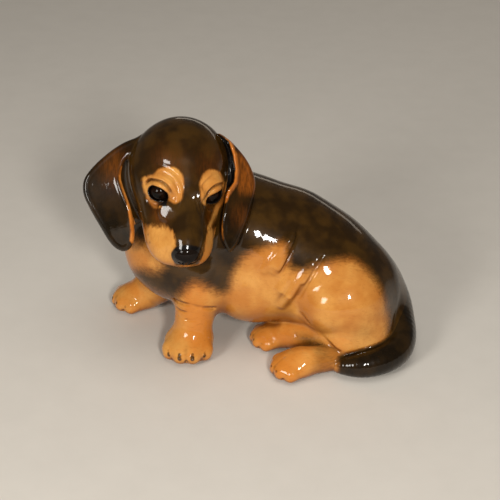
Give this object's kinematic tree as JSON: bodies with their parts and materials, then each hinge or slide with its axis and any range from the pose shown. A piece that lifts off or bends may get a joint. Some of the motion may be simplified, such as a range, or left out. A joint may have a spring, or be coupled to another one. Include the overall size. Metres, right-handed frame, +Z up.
{
  "type": "glazed ceramic dog figurine",
  "caption": "Glazed ceramic puppy lying on its hip with its head turned: a free-standing ornament for a shelf, mantel or table.",
  "frame": {"origin": "on the plane the figurine stands on, under the middle of its bounding box", "axes": "+Z up, +X along the body toward the rump, -Y toward the side that the puppy's head is turned to and its hind feet lie on"},
  "size_m": [0.22, 0.1155, 0.1562],
  "materials": {
    "body_glaze": "tan underglaze with a dark brown saddle, under clear gloss glaze",
    "head_glaze": "dark brown underglaze with tan brows and muzzle, under clear gloss glaze",
    "ear_glaze": "dark brown underglaze with a tan rim, under clear gloss glaze",
    "eye_glaze": "black gloss glaze",
    "nose_glaze": "black gloss glaze",
    "leg_glaze": "tan underglaze, under clear gloss glaze",
    "tail_glaze": "dark brown underglaze, under clear gloss glaze"
  },
  "bodies": {
    "root": {"torso_shell": "body_glaze", "head_shell": "head_glaze", "left_ear": "ear_glaze", "right_ear": "ear_glaze", "left_eye": "eye_glaze", "right_eye": "eye_glaze", "nose_pad": "nose_glaze", "left_foreleg": "leg_glaze", "right_foreleg": "leg_glaze", "left_hind_foot": "leg_glaze", "right_hind_foot": "leg_glaze", "tail": "tail_glaze"}
  },
  "joints": []
}
